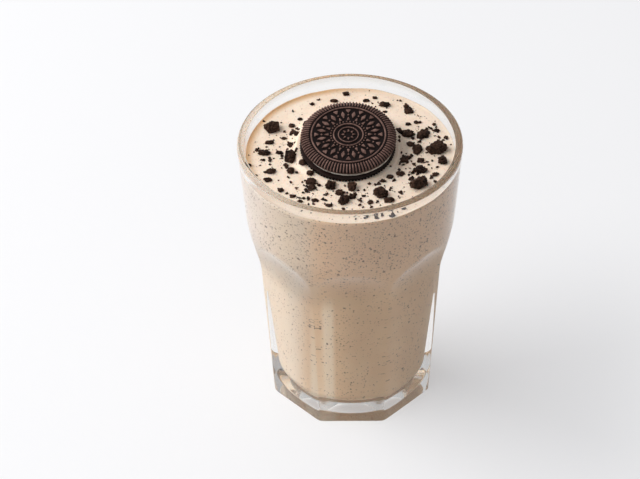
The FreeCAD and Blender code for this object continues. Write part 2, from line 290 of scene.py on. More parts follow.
def tumbler(material):
    """The whole glass as one skin, from under its foot over the lip to the floor of the well."""
    bearings = arris_bearings()
    under = [(r, PUNT_DEPTH) for r in np.linspace(1.2, PUNT_TOP_RADIUS - 0.5, 8)]
    under += [(PUNT_TOP_RADIUS, PUNT_DEPTH - 0.08)]
    cone = np.linspace(PUNT_TOP_RADIUS + 0.5, PUNT_RADIUS - 0.3, 10)
    under += [(float(r), straight(r, (PUNT_TOP_RADIUS, PUNT_DEPTH), (PUNT_RADIUS, 0.0))) for r in cone]
    under += [(PUNT_RADIUS + 0.1, 0.03), (PUNT_RADIUS + 0.8, 0.0)]
    rings = [turned_rings(under, bearings)]
    foot = outside_radius(np.array([[FOOT_EDGE]]), bearings)[0]
    for share in np.linspace(0, 1, 7):
        inset = FOOT_EDGE * (1 - math.sin(share * math.pi / 2))
        height = FOOT_EDGE * (1 - math.cos(share * math.pi / 2))
        ring = np.stack([(foot - inset) * np.cos(bearings), (foot - inset) * np.sin(bearings)], 1)
        rings.append(np.column_stack([ring, np.full(len(ring), height)])[None])
    heights = np.concatenate(
        [
            np.linspace(FOOT_EDGE, 72, 20)[1:],
            np.linspace(72, 106, 72)[1:],
            np.linspace(106, RIM_Z, 16)[1:],
        ]
    )[:, None]
    radius = outside_radius(heights, bearings)
    wall = [radius * np.cos(bearings), radius * np.sin(bearings), np.repeat(heights, len(bearings), 1)]
    rings.append(np.stack(wall, 2))
    round_lip = [
        (RIM_RADIUS - LIP_THICKNESS / 2 * (1 - math.cos(a)), RIM_Z + LIP_THICKNESS / 2 * math.sin(a))
        for a in np.linspace(0, math.pi, 22)[1:]
    ]
    inside = [(float(well_radius(z)), z) for z in np.linspace(RIM_Z, THROAT[0], 16)[1:]]
    inside += [(float(well_radius(z)), z) for z in np.linspace(THROAT[0], WELL_TOP[0], 22)[1:]]
    inside += [(float(well_radius(z)), z) for z in np.linspace(WELL_TOP[0], WELL_FOOT[0], 14)[1:-1]]
    corner = floor_corner(12)[::-1]
    floor = [(r, FLOOR_Z) for r in np.linspace(corner[-1][0], 2.0, 8)[1:]]
    rings.append(turned_rings(round_lip + inside + corner + floor, bearings))
    vertices, faces = wrapped(np.concatenate(rings), (0, 0, PUNT_DEPTH), (0, 0, FLOOR_Z))
    return piece("tumbler", vertices, faces, material)


# ---- places on the drink and the biscuit ----
def biscuit_place():
    """Turns and moves a biscuit piece, made lying flat at the origin, into its place (mm)."""
    return Matrix.Translation(BISCUIT_TOP) @ Matrix.Rotation(BISCUIT_TILT, 4, "X")


def ripple(x, y, width, seed):
    """Smooth random value from -1 to 1, about width millimetres from hill to hill."""
    return noise.noise(Vector((x / width, y / width, seed)))


def surface_height(x, y):
    """Height of the drink's upper surface."""
    middle = (LEVEL_FRONT + LEVEL_BACK) / 2
    level = middle + (LEVEL_BACK - LEVEL_FRONT) * y / (2 * INNER_RIM_RADIUS)
    out = math.hypot(x, y) / INNER_RIM_RADIUS
    level += 0.35 * (1 - out**2)
    waves = 0.30 * ripple(x, y, 17, 3.0) + 0.14 * ripple(x, y, 6.5, 8.0) + 0.05 * ripple(x, y, 2.4, 5.0)
    level += waves * min(1.0, (1 - min(out, 1)) * 9 + 0.25)
    away_x = x - BISCUIT_TOP.x - LOWER_SHIFT.x
    away_y = y - BISCUIT_TOP.y - SANDWICH * math.sin(BISCUIT_TILT) - LOWER_SHIFT.y
    away = math.hypot(away_x, away_y)
    lean = math.tan(BISCUIT_TILT) * (y - BISCUIT_TOP.y)
    bank = BISCUIT_TOP.z + lean - (SANDWICH - BED_SINK) / math.cos(BISCUIT_TILT)
    bank -= max(away - BISCUIT_RADIUS - BED_LIP, 0) * BED_FALL
    height = float(soft_most(np.float64(level), np.float64(bank), 2.2))
    under = BISCUIT_TOP.z + lean - (SANDWICH - 0.3) / math.cos(BISCUIT_TILT)
    return min(height, under) if away < BISCUIT_RADIUS - 1.5 else height


def drink(material):
    """The drink, reaching just into the wall, with an uneven surface that creeps up at its edge."""
    bearings = even_bearings(320)
    corner = floor_corner(12, INTO_WALL)
    below = [(r, FLOOR_Z - INTO_WALL) for r in np.linspace(2.0, corner[0][0], 8)[:-1]]
    lower_heights = np.linspace(WELL_FOOT[0], WELL_TOP[0], 24)[1:]
    heights = np.concatenate([lower_heights, np.linspace(WELL_TOP[0], THROAT[0], 20)[1:]])
    side = [(float(well_radius(z)) + INTO_WALL, z) for z in heights]
    lower = turned_rings(below + corner + side, bearings)
    edge_radius = float(well_radius(LEVEL_FRONT)) + INTO_WALL
    edge = []
    for a in bearings:
        x, y = edge_radius * math.cos(a), edge_radius * math.sin(a)
        creep = 0.35 + 0.3 * noise.noise(Vector((math.cos(a) * 5, math.sin(a) * 5, 1.5)))
        edge.append(surface_height(x, y) + creep)
    edge = np.array(edge)
    upper = []
    for share in np.linspace(0, 1, 14)[1:]:
        z = THROAT[0] + (edge - THROAT[0]) * share
        radius = well_radius(z) + INTO_WALL
        upper.append(np.stack([radius * np.cos(bearings), radius * np.sin(bearings), z], 1))
    surface = []
    close_in = edge_radius - np.array([0.25, 0.5, 0.9, 1.4, 2.0])
    for radius in np.concatenate([close_in, np.linspace(edge_radius - 2.7, 1.0, 104)]):
        ring = []
        rise = max(0.0, 1 - (edge_radius - radius) / 1.4) ** 2
        for j, a in enumerate(bearings):
            x, y = radius * math.cos(a), radius * math.sin(a)
            z = surface_height(x, y)
            ring.append((x, y, z + (edge[j] - z) * rise))
        surface.append(ring)
    rings = np.concatenate([lower, np.array(upper), np.array(surface)])
    middle = (0, 0, surface_height(0, 0))
    vertices, faces = wrapped(rings, (0, 0, FLOOR_Z - INTO_WALL), middle)
    made = piece("shake", vertices, faces, material)
    hidden = (len(lower) + len(upper)) * len(bearings)
    open_top = np.ones(len(vertices), np.float32)
    open_top[:hidden] = 0.0
    open_top[-2] = 0.0
    mark(made, "open_top", open_top)
    return made


# ---- Geometry Nodes trees ----
def put(tree, kind, inputs=None, **settings):
    """Adds a node; an input is a value or another node's socket."""
    made = tree.nodes.new(kind)
    for key, value in settings.items():
        setattr(made, key, value)
    for key, value in (inputs or {}).items():
        if isinstance(value, bpy.types.NodeSocket):
            tree.links.new(value, made.inputs[key])
        else:
            made.inputs[key].default_value = value
    return made


def node_group(kind, name, inputs, outputs):
    """An empty node group with named sockets, and the nodes that stand for them."""
    tree = bpy.data.node_groups.new(name, kind)
    for title, socket_kind, default in inputs:
        socket = tree.interface.new_socket(name=title, in_out="INPUT", socket_type="NodeSocket" + socket_kind)
        if default is not None:
            socket.default_value = default
    for title, socket_kind in outputs:
        tree.interface.new_socket(name=title, in_out="OUTPUT", socket_type="NodeSocket" + socket_kind)
    return tree, put(tree, "NodeGroupInput"), put(tree, "NodeGroupOutput")


def ranged(tree, value, low, high, to_low=0.0, to_high=1.0, kind="LINEAR"):
    """A value brought from one range to another and kept within it."""
    inputs = {"Value": value, "From Min": low, "From Max": high, "To Min": to_low, "To Max": to_high}
    return put(tree, "ShaderNodeMapRange", inputs, interpolation_type=kind).outputs[0]


def product(tree, first, second):
    return put(tree, "ShaderNodeMath", {0: first, 1: second}, operation="MULTIPLY").outputs[0]


def scaled(tree, vector, by):
    return put(tree, "ShaderNodeVectorMath", {0: vector, "Scale": by}, operation="SCALE").outputs[0]


def ring_of_copies():
    """A tree that repeats the object's own mesh round the Z axis."""
    tree, given, out = node_group(
        "GeometryNodeTree",
        "ring of copies",
        [
            ("Geometry", "Geometry", None),
            ("Copies", "Int", 12),
            ("First bearing", "Float", 0.0),
            ("Finish", "Material", None),
        ],
        [("Geometry", "Geometry")],
    )
    points = put(tree, "GeometryNodePoints", {"Count": given.outputs["Copies"]})
    index = put(tree, "GeometryNodeInputIndex")
    share = put(tree, "ShaderNodeMath", {0: index.outputs[0], 1: given.outputs["Copies"]}, operation="DIVIDE")
    turn = put(
        tree,
        "ShaderNodeMath",
        {0: share.outputs[0], 1: 2 * math.pi, 2: given.outputs["First bearing"]},
        operation="MULTIPLY_ADD",
    )
    spin = put(tree, "ShaderNodeCombineXYZ", {"Z": turn.outputs[0]})
    copies = put(
        tree,
        "GeometryNodeInstanceOnPoints",
        {"Points": points.outputs[0], "Instance": given.outputs["Geometry"], "Rotation": spin.outputs[0]},
    )
    real = put(tree, "GeometryNodeRealizeInstances", {"Geometry": copies.outputs[0]})
    finished = put(
        tree, "GeometryNodeSetMaterial", {"Geometry": real.outputs[0], "Material": given.outputs["Finish"]}
    )
    tree.links.new(finished.outputs[0], out.inputs[0])
    return tree


def strewn_crumbs():
    """A tree that strews small rough crumbs over a surface, thickest where "strewn" is high."""
    tree, given, out = node_group(
        "GeometryNodeTree",
        "strewn crumbs",
        [
            ("Geometry", "Geometry", None),
            ("Crumbs per square metre", "Float", 100000.0),
            ("Smallest", "Float", 0.0003),
            ("Largest", "Float", 0.001),
            ("Seed", "Int", 1),
            ("Finish", "Material", None),
        ],
        [("Geometry", "Geometry")],
    )
    strewn = put(tree, "GeometryNodeInputNamedAttribute", {"Name": "strewn"}, data_type="FLOAT")
    density = product(tree, strewn.outputs[0], given.outputs["Crumbs per square metre"])
    spots = put(
        tree,
        "GeometryNodeDistributePointsOnFaces",
        {"Mesh": given.outputs["Geometry"], "Density": density, "Seed": given.outputs["Seed"]},
    )
    draw = put(tree, "FunctionNodeRandomValue", {"Seed": 7}, data_type="FLOAT")
    skew = put(tree, "ShaderNodeMath", {0: draw.outputs[1], 1: 3.0}, operation="POWER")
    size = ranged(tree, skew.outputs[0], 0.0, 1.0, given.outputs["Smallest"], given.outputs["Largest"])
    kept = put(
        tree,
        "GeometryNodeStoreNamedAttribute",
        {"Geometry": spots.outputs["Points"], "Name": "crumb_size", "Value": size},
        data_type="FLOAT",
        domain="POINT",
    )
    lump = put(tree, "GeometryNodeMeshIcoSphere", {"Radius": 1.0, "Subdivisions": 2})
    spin = put(
        tree,
        "FunctionNodeRandomValue",
        {0: (0.0, 0.0, 0.0), 1: (6.283, 6.283, 6.283), "Seed": 21},  # any turn about each axis
        data_type="FLOAT_VECTOR",
    )
    stretch = put(
        tree,
        "FunctionNodeRandomValue",
        {0: (0.7, 0.55, 0.4), 1: (1.4, 1.0, 0.8), "Seed": 33},
        data_type="FLOAT_VECTOR",
    )
    scale = scaled(tree, stretch.outputs[0], size)
    copies = put(
        tree,
        "GeometryNodeInstanceOnPoints",
        {"Points": kept.outputs[0], "Instance": lump.outputs[0], "Rotation": spin.outputs[0], "Scale": scale},
    )
    real = put(tree, "GeometryNodeRealizeInstances", {"Geometry": copies.outputs[0]})
    own = put(tree, "GeometryNodeInputNamedAttribute", {"Name": "crumb_size"}, data_type="FLOAT")
    uneven = put(tree, "ShaderNodeTexNoise", {"Scale": 1700.0, "Detail": 1.0}, noise_dimensions="3D")
    centred = put(
        tree, "ShaderNodeVectorMath", {0: uneven.outputs["Color"], 1: (0.5, 0.5, 0.5)}, operation="SUBTRACT"
    )
    push = scaled(tree, centred.outputs[0], product(tree, own.outputs[0], 2.1))
    rough = put(tree, "GeometryNodeSetPosition", {"Geometry": real.outputs[0], "Offset": push})
    finished = put(
        tree, "GeometryNodeSetMaterial", {"Geometry": rough.outputs[0], "Material": given.outputs["Finish"]}
    )
    tree.links.new(finished.outputs[0], out.inputs[0])
    return tree


def grown(name, source, tree, values):
    """Runs a Geometry Nodes tree on an object and keeps its result as a plain mesh."""
    modifier = source.modifiers.new("grow", "NODES")
    modifier.node_group = tree
    for item in tree.interface.items_tree:
        if item.in_out == "INPUT" and item.name in values:
            modifier[item.identifier] = values[item.name]
    evaluated = source.evaluated_get(bpy.context.evaluated_depsgraph_get())
    mesh = bpy.data.meshes.new_from_object(evaluated)
    source.modifiers.remove(modifier)
    bpy.data.objects.remove(source)
    mesh.name = name
    return object_of(name, mesh)


def joined(name, parts, place=None):
    """Several pieces as one mesh, moved into place (mm) if a place is given."""
    work = bmesh.new()
    materials = []
    for part in parts:
        start = len(work.faces)
        work.from_mesh(part.data)
        work.faces.ensure_lookup_table()
        for material in part.data.materials:
            if material not in materials:
                materials.append(material)
        index = materials.index(part.data.materials[0])
        for face in work.faces[start:]:
            face.material_index = index
    if place is not None:
        metres = place.copy()
        metres.translation = metres.translation * MM
        bmesh.ops.transform(work, matrix=metres, verts=work.verts)
        if metres.determinant() < 0:
            bmesh.ops.reverse_faces(work, faces=work.faces)
    mesh = bpy.data.meshes.new(name)
    work.to_mesh(mesh)
    work.free()
    for material in materials:
        mesh.materials.append(material)
    for part in parts:
        bpy.data.objects.remove(part)
    return object_of(name, mesh)


# ---- the sandwich biscuit ----
def wafer_edge(count):
    """Points (radius, height) over the rounded edge of a wafer, from its face to its widest."""
    face_end = np.array([FACE_RADIUS, -FACE_SINK])
    widest = np.array([BISCUIT_RADIUS - RIB_HEIGHT, -WIDEST_DEPTH])
    outwards, downwards = np.array([4.2, 0.0]), np.array([0.0, -3.4])
    points = []
    for t in np.linspace(0, 1, count):
        points.append(
            (2 * t**3 - 3 * t**2 + 1) * face_end
            + (t**3 - 2 * t**2 + t) * outwards
            + (3 * t**2 - 2 * t**3) * widest
            + (t**3 - t**2) * downwards
        )
    return [tuple(p) for p in points]


def wafer_body(material):
    """A wafer without its pattern: sunk face, rounded edge and plain underside."""
    bearings = even_bearings(240)
    face = [(r, -FACE_SINK) for r in np.linspace(FACE_RADIUS - 0.6, 1.0, 26)][::-1]
    rim = wafer_edge(14)
    tuck = [(0.42, -3.2), (0.55, -3.5), (0.9, -WAFER_THICKNESS)]
    foot = [(BISCUIT_RADIUS - inset, z) for inset, z in tuck]
    under = [(r, -WAFER_THICKNESS) for r in np.linspace(BISCUIT_RADIUS - 2, 1.5, 8)]
    profile = (face + rim + foot + under)[::-1]
    rings = turned_rings(profile, bearings)
    for ring in rings:
        for point in ring:
            rough = 0.05 * noise.noise(Vector(point) * 0.9) + 0.035 * noise.noise(Vector(point) * 2.3)
            point[2] += rough
            point[:2] *= 1 + 0.25 * rough / max(math.hypot(point[0], point[1]), 1)
    vertices, faces = wrapped(rings, (0, 0, -WAFER_THICKNESS), (0, 0, -FACE_SINK))
    return piece("wafer body", vertices, faces, material)


def bar(path, width, height, sink, material):
    """A rounded bar along a path of (radius, height) points in the XZ plane, its ends tapered."""
    across = np.linspace(0, math.pi, 7)
    path = np.array(path, float)
    along = np.gradient(path, axis=0)
    along /= np.linalg.norm(along, axis=1)[:, None]
    outward = np.stack([-along[:, 1], along[:, 0]], 1)
    vertices, faces = [], []
    count = len(path)
    for i, (point, normal) in enumerate(zip(path, outward)):
        t = i / (count - 1)
        taper = min(1.0, math.sin(math.pi * min(max(t, 0.02), 0.98)) * 3.2) ** 0.5
        for a in across:
            lift = height * taper * math.sin(a) ** 0.8 - sink * (1 - math.sin(a))
            side = -width / 2 * math.cos(a) * (0.55 + 0.45 * taper)
            vertices.append((point[0] + normal[0] * lift, side, point[1] + normal[1] * lift))
    n = len(across)
    for i in range(count - 1):
        for j in range(n):
            k = (j + 1) % n
            faces.append((i * n + j, (i + 1) * n + j, (i + 1) * n + k, i * n + k))
    faces.append(tuple(range(n)))
    faces.append(tuple(range((count - 1) * n, count * n))[::-1])
    made = piece("bar", vertices, faces, material)
    faces_out(made)
    return made


def faces_out(made):
    work = bmesh.new()
    work.from_mesh(made.data)
    bmesh.ops.recalc_face_normals(work, faces=work.faces)
    work.to_mesh(made.data)
    work.free()


def stud(outline, centre, material):
    """A low domed stud over an outline of points about its own middle, set at (x, y)."""
    levels = [(1.0, -0.3), (1.0, 0.35 * STUD_RISE), (0.93, 0.72 * STUD_RISE)]
    levels += [(0.76, 0.93 * STUD_RISE), (0.45, STUD_RISE)]
    outline = np.array(outline, float)
    vertices, faces = [], []
    count = len(outline)
    for scale, lift in levels:
        for x, y in outline * scale:
            vertices.append((centre[0] + x, centre[1] + y, -FACE_SINK + lift))
    for i in range(len(levels) - 1):
        for j in range(count):
            k = (j + 1) % count
            faces.append((i * count + j, i * count + k, (i + 1) * count + k, (i + 1) * count + j))
    faces.append(tuple(range(count))[::-1])
    faces.append(tuple(range((len(levels) - 1) * count, len(levels) * count)))
    return piece("stud", vertices, faces, material)


def rounded(corners, ease):
    """A closed outline with eased corners."""
    points = []
    count, steps = len(corners), 4
    for i in range(count):
        before, here, after = (np.array(corners[(i + d) % count], float) for d in (-1, 0, 1))
        start, end = here + (before - here) * ease, here + (after - here) * ease
        for t in np.linspace(0, 1, steps):
            points.append(tuple((1 - t) ** 2 * start + 2 * t * (1 - t) * here + t**2 * end))
    return points


def round_ring(radius, width, rise, material):
    """A raised ring with a rounded top."""
    bearings = even_bearings(160)
    across = np.linspace(0, math.pi, 7)
    section = [
        (radius + width / 2 * math.cos(a), -FACE_SINK - 0.2 + (rise + 0.2) * math.sin(a) ** 0.7)
        for a in across
    ]
    rings = turned_rings(section, bearings)
    rows, columns = rings.shape[:2]
    faces = []
    for i in range(rows):
        for j in range(columns):
            k, m = (j + 1) % columns, (i + 1) % rows
            faces.append((i * columns + j, i * columns + k, m * columns + k, m * columns + j))
    made = piece("ring", rings.reshape(-1, 3), faces, material)
    faces_out(made)
    return made


def wafer(name, copies, material, place, lit_share=1.0):
    """One wafer: body, ribbed edge and a plain generic pattern of rings and studs."""
    edge = wafer_edge(11)

    def ring_of(count, first, source):
        return grown("pattern", source, copies, {"Copies": count, "First bearing": first, "Finish": material})

    def studs(count, first, out, corners, ease=0.22):
        return ring_of(count, first, stud(rounded(corners, ease), (out, 0), material))

    half_step = math.pi / 16
    parts = [
        wafer_body(material),
        ring_of(RIBS, 0.0, bar(edge, RIB_WIDTH, RIB_RISE, RIB_ROOT, material)),
        round_ring(16.35, 0.9, 0.6, material),
        round_ring(6.5, 0.8, 0.6, material),
        round_ring(4.4, 0.65, 0.56, material),
        studs(16, half_step, 12.0, [(2.3, 0), (0, 1.0), (-2.3, 0), (0, -1.0)]),
        studs(16, 0.0, 14.1, [(1.0, 1.35), (-1.3, 0), (1.0, -1.35)]),
        studs(16, 0.0, 9.4, [(1.5, 0), (-0.8, 0.75), (-0.8, -0.75)]),
        studs(16, 0.0, 11.8, [(0.55, 0), (0, 0.55), (-0.55, 0), (0, -0.55)], ease=0.45),
        studs(32, half_step / 2, 7.75, [(0.35, 0.3), (-0.35, 0.3), (-0.35, -0.3), (0.35, -0.3)]),
        studs(8, 0.0, 2.4, [(1.0, 0), (-0.7, 0.6), (-0.7, -0.6)]),
    ]
    made = joined(name, parts)
    mesh = made.data
    points = np.zeros(len(mesh.vertices) * 3)
    mesh.vertices.foreach_get("co", points)
    points = points.reshape(-1, 3) / MM
    out = np.hypot(points[:, 0], points[:, 1])
    profile = np.array(wafer_edge(40))
    gap = np.hypot(out[:, None] - profile[:, 0], points[:, 2][:, None] - profile[:, 1]).min(axis=1)
    raised = np.where(out < FACE_RADIUS - 0.2, (points[:, 2] + FACE_SINK) / 0.55, gap / 0.45)
    # painted shade: the material darkens the relief's low parts by this value, and a lit share below one
    # darkens the whole wafer
    mark(made, "raised", np.clip(raised, 0, 1) * lit_share)
    metres = place.copy()
    metres.translation = metres.translation * MM
    mesh.transform(metres)
    if metres.determinant() < 0:
        mesh.flip_normals()
    return made


def cream_disc(material, place):
    """The filling: a disc with a bulging edge, a little out of line with the wafers."""
    bearings = even_bearings(180)
    half = CREAM_THICKNESS / 2
    middle = -WAFER_THICKNESS - half
    turn = np.linspace(-math.pi / 2, math.pi / 2, 11)
    bulge = [(CREAM_RADIUS - 0.5 + 0.5 * math.cos(a), middle + half * math.sin(a)) for a in turn]
    flat_low = [(r, middle - half) for r in np.linspace(2, CREAM_RADIUS - 1.2, 6)]
    flat_high = [(r, middle + half) for r in np.linspace(CREAM_RADIUS - 1.2, 2, 6)]
    rings = turned_rings(flat_low + bulge + flat_high, bearings)
    for ring in rings:
        for point in ring:
            point[:2] *= 1 + 0.010 * noise.noise(Vector(point) * 0.35)
            point[:2] += CREAM_SHIFT.xy
    low, high = (tuple(CREAM_SHIFT.xy) + (middle + side,) for side in (-half, half))
    vertices, faces = wrapped(rings, low, high)
    return joined("cream", [piece("cream disc", vertices, faces, material)], place)


# ---- broken biscuit ----
def rough_lump(node, material):
    """A copy of a lump's plain solid, remeshed and broken up so that it looks crumbled."""
    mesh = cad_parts[node].data.copy()
    mesh.name = node + "_rough"
    source = object_of(node + "_rough", mesh)
    work = bmesh.new()
    work.from_mesh(mesh)
    bmesh.ops.remove_doubles(work, verts=work.verts, dist=1e-6)
    work.to_mesh(mesh)
    work.free()
    remesh = source.modifiers.new("remesh", "REMESH")
    remesh.mode = "VOXEL"
    remesh.voxel_size = LUMP_GRAIN * MM
    evaluated = source.evaluated_get(bpy.context.evaluated_depsgraph_get())
    shape = bpy.data.meshes.new_from_object(evaluated)
    bpy.data.objects.remove(source)
    shape.calc_loop_triangles()
    count = len(shape.vertices)
    points, normals = np.zeros(count * 3), np.zeros(count * 3)
    shape.vertices.foreach_get("co", points)
    shape.vertex_normals.foreach_get("vector", normals)
    points, normals = points.reshape(-1, 3), normals.reshape(-1, 3)
    for i in range(count):
        at = Vector(points[i]) / MM
        near = noise.voronoi(at * 0.62 + Vector((3, 1, 7)))[0]
        grains = noise.voronoi(at * 1.5)[0]
        push = 0.45 * noise.noise(at * 0.45) + 0.75 * min(near[1] - near[0], 0.7)
        push += 0.28 * min(grains[1] - grains[0], 0.6)
        pit = max(0.0, noise.noise(at * 1.1 + Vector((9, 4, 2))) - 0.12)
        points[i] += normals[i] * (push - 1.1 * pit - 0.42) * MM
    shape.vertices.foreach_set("co", points.ravel())
    shape.update()
    shape.shade_smooth()
    shape.materials.clear()
    shape.materials.append(material)
    shape.name = node + "_rough"
    return object_of(node + "_rough", shape)


def medium_crumbs(material):
    """Middling crumbs, each its own rough shape, set half sunk in the drink."""
    work = bmesh.new()
    for index, (x, y, width, depth) in enumerate(MEDIUM_CRUMBS):
        made = bmesh.ops.create_icosphere(work, subdivisions=3, radius=1.0)
        turn = Matrix.Rotation(index * 2.4, 4, "Z") @ Matrix.Rotation(0.4 * math.sin(index * 1.7), 4, "X")
        half = Vector((width / 2 * 1.05, depth / 2 * 1.15, (width + depth) / 4 * 0.62))
        middle = Vector((x, y, surface_height(x, y) + half.z * 0.42))
        for vertex in made["verts"]:
            at = vertex.co.normalized()
            broken = 1 + 0.42 * noise.noise(at * 1.5 + Vector((index * 3.1, 0, 0)))
            split = noise.voronoi(at * 1.7 + Vector((0, index * 2.3, 0)))[0]
            broken += 0.55 * min(split[1] - split[0], 0.6) - 0.2
            shape = (turn @ at) * broken
            vertex.co = (middle + Vector((shape.x * half.x, shape.y * half.y, shape.z * half.z))) * MM
    mesh = bpy.data.meshes.new("medium_crumbs")
    work.to_mesh(mesh)
    work.free()
    mesh.shade_smooth()
    mesh.materials.append(material)
    return object_of("medium_crumbs", mesh)


def crumb_bed():
    """The part of the drink's surface that crumbs can lie on, with how thickly they lie."""
    bearings = even_bearings(180)
    rows = np.linspace(5, INNER_RIM_RADIUS - 1.2, 60)
    vertices, strewn = [], []
    for radius in rows:
        for a in bearings:
            x, y = radius * math.cos(a), radius * math.sin(a)
            vertices.append((x, y, surface_height(x, y)))
            thick = CRUMBS_EVERYWHERE + sum(
                share * math.exp(-((x - cx) ** 2 + (y - cy) ** 2) / (2 * spread**2))
                for cx, cy, spread, share in CRUMB_DRIFTS
            )
            near = math.hypot(x - BISCUIT_TOP.x, y - BISCUIT_TOP.y) < BISCUIT_RADIUS + 0.4
            strewn.append(0.0 if near else thick)
    count = len(bearings)
    faces = []
    for i in range(len(rows) - 1):
        for j in range(count):
            k = (j + 1) % count
            faces.append((i * count + j, (i + 1) * count + j, (i + 1) * count + k, i * count + k))
    made = piece("crumb bed", vertices, faces, None)
    mark(made, "strewn", strewn)
    return made


# ---- shader node groups ----
def mix_colour(tree, factor, first, second):
    made = put(tree, "ShaderNodeMix", {0: factor}, data_type="RGBA")
    for socket, value in ((made.inputs[6], first), (made.inputs[7], second)):
        if isinstance(value, bpy.types.NodeSocket):
            tree.links.new(value, socket)
        else:
            socket.default_value = value
    return made.outputs[2]


def baked_grain():
    """Colour and height of baked cocoa dough: mottled, pitted and floury on its high spots."""
    tree, given, out = node_group(
        "ShaderNodeTree",
        "baked grain",
        [
            ("Vector", "Vector", None),
            ("Grain", "Float", 1500.0),
            ("Dark", "Color", (0.02, 0.012, 0.01, 1)),
            ("Light", "Color", (0.09, 0.06, 0.05, 1)),
        ],
        [("Color", "Color"), ("Height", "Float"), ("Roughness", "Float")],
    )
    place, grain = given.outputs["Vector"], given.outputs["Grain"]
    noisy = {"Vector": place, "Scale": grain, "Detail": 4.0, "Roughness": 0.65}
    fine = put(tree, "ShaderNodeTexNoise", noisy)
    broad_scale = product(tree, grain, 0.16)
    broad = put(tree, "ShaderNodeTexNoise", {"Vector": place, "Scale": broad_scale, "Detail": 3.0})
    pits = put(tree, "ShaderNodeTexVoronoi", {"Vector": place, "Scale": grain}, feature="F1")
    blotch = ranged(tree, broad.outputs[0], 0.35, 0.68)
    flour = ranged(tree, fine.outputs[0], 0.48, 0.74)
    both = put(tree, "ShaderNodeMath", {0: blotch, 1: 0.45, 2: flour}, operation="MULTIPLY_ADD")
    colour = mix_colour(tree, both.outputs[0], given.outputs["Dark"], given.outputs["Light"])
    height = product(tree, fine.outputs[0], ranged(tree, pits.outputs["Distance"], 0.12, 0.4))
    rough = ranged(tree, broad.outputs[0], 0.0, 1.0, 0.34, 0.62)
    tree.links.new(colour, out.inputs["Color"])
    tree.links.new(height, out.inputs["Height"])
    tree.links.new(rough, out.inputs["Roughness"])
    return tree


def specks():
    """A mask of small irregular specks: a share of the cells of a lattice each hold one."""
    tree, given, out = node_group(
        "ShaderNodeTree",
        "specks",
        [
            ("Vector", "Vector", None),
            ("Scale", "Float", 400.0),
            ("Size", "Float", 0.2),
            ("Share", "Float", 0.3),
            ("Softness", "Float", 0.08),
        ],
        [("Mask", "Float")],
    )
    place = given.outputs["Vector"]
    warp = put(tree, "ShaderNodeTexNoise", {"Vector": place, "Scale": 1100.0, "Detail": 2.0})
    shift = scaled(tree, warp.outputs["Color"], 0.0011)
    moved = put(tree, "ShaderNodeVectorMath", {0: place, 1: shift}, operation="ADD").outputs[0]
    lattice = {"Vector": moved, "Scale": given.outputs["Scale"]}
    cells = put(tree, "ShaderNodeTexVoronoi", lattice, feature="F1")
    pick = put(tree, "ShaderNodeSeparateColor", {"Color": cells.outputs["Color"]})
    within = {0: pick.outputs[0], 1: given.outputs["Share"]}
    chosen = put(tree, "ShaderNodeMath", within, operation="LESS_THAN")
    reach = product(tree, given.outputs["Size"], ranged(tree, pick.outputs[1], 0.0, 1.0, 0.45, 1.0))
    gap = put(tree, "ShaderNodeMath", {0: reach, 1: cells.outputs["Distance"]}, operation="SUBTRACT")
    edge = ranged(tree, gap.outputs[0], 0.0, given.outputs["Softness"])
    mask = product(tree, edge, chosen.outputs[0])
    tree.links.new(mask, out.inputs["Mask"])
    return tree


# ---- materials ----
def new_material(name):
    made = bpy.data.materials.new(name)
    made.use_nodes = True
    tree = made.node_tree
    return made, tree, tree.nodes["Principled BSDF"]


def glass_material():
    """Clear soda glass that lets light through to the drink behind it."""
    made, tree, surface = new_material("clear_glass")
    place = put(tree, "ShaderNodeTexCoord").outputs["Object"]
    height = put(tree, "ShaderNodeSeparateXYZ", {"Vector": place}).outputs["Z"]
    lip = ranged(tree, height, 0.1345, 0.1366)  # painted shade: a grey-tan colour comes in just below the lip, for the lip's darker look
    painted_lip_shade = mix_colour(tree, lip, (0.985, 0.99, 0.985, 1), (0.86, 0.84, 0.80, 1))
    tree.links.new(painted_lip_shade, surface.inputs["Base Color"])
    surface.inputs["Roughness"].default_value = 0.0
    surface.inputs["IOR"].default_value = 1.5
    surface.inputs["Transmission Weight"].default_value = 1.0
    mottle = put(tree, "ShaderNodeTexNoise", {"Vector": place, "Scale": 55.0})
    bump = put(tree, "ShaderNodeBump", {"Strength": 0.03, "Distance": 0.0003, "Height": mottle.outputs[0]})
    tree.links.new(bump.outputs[0], surface.inputs["Normal"])
    clear = put(tree, "ShaderNodeBsdfTransparent", {"Color": (0.96, 0.965, 0.96, 1)})
    path = put(tree, "ShaderNodeLightPath")
    both = put(
        tree,
        "ShaderNodeMixShader",
        {0: path.outputs["Is Shadow Ray"], 1: surface.outputs[0], 2: clear.outputs[0]},
    )
    tree.links.new(both.outputs[0], tree.nodes["Material Output"].inputs["Surface"])
    return made


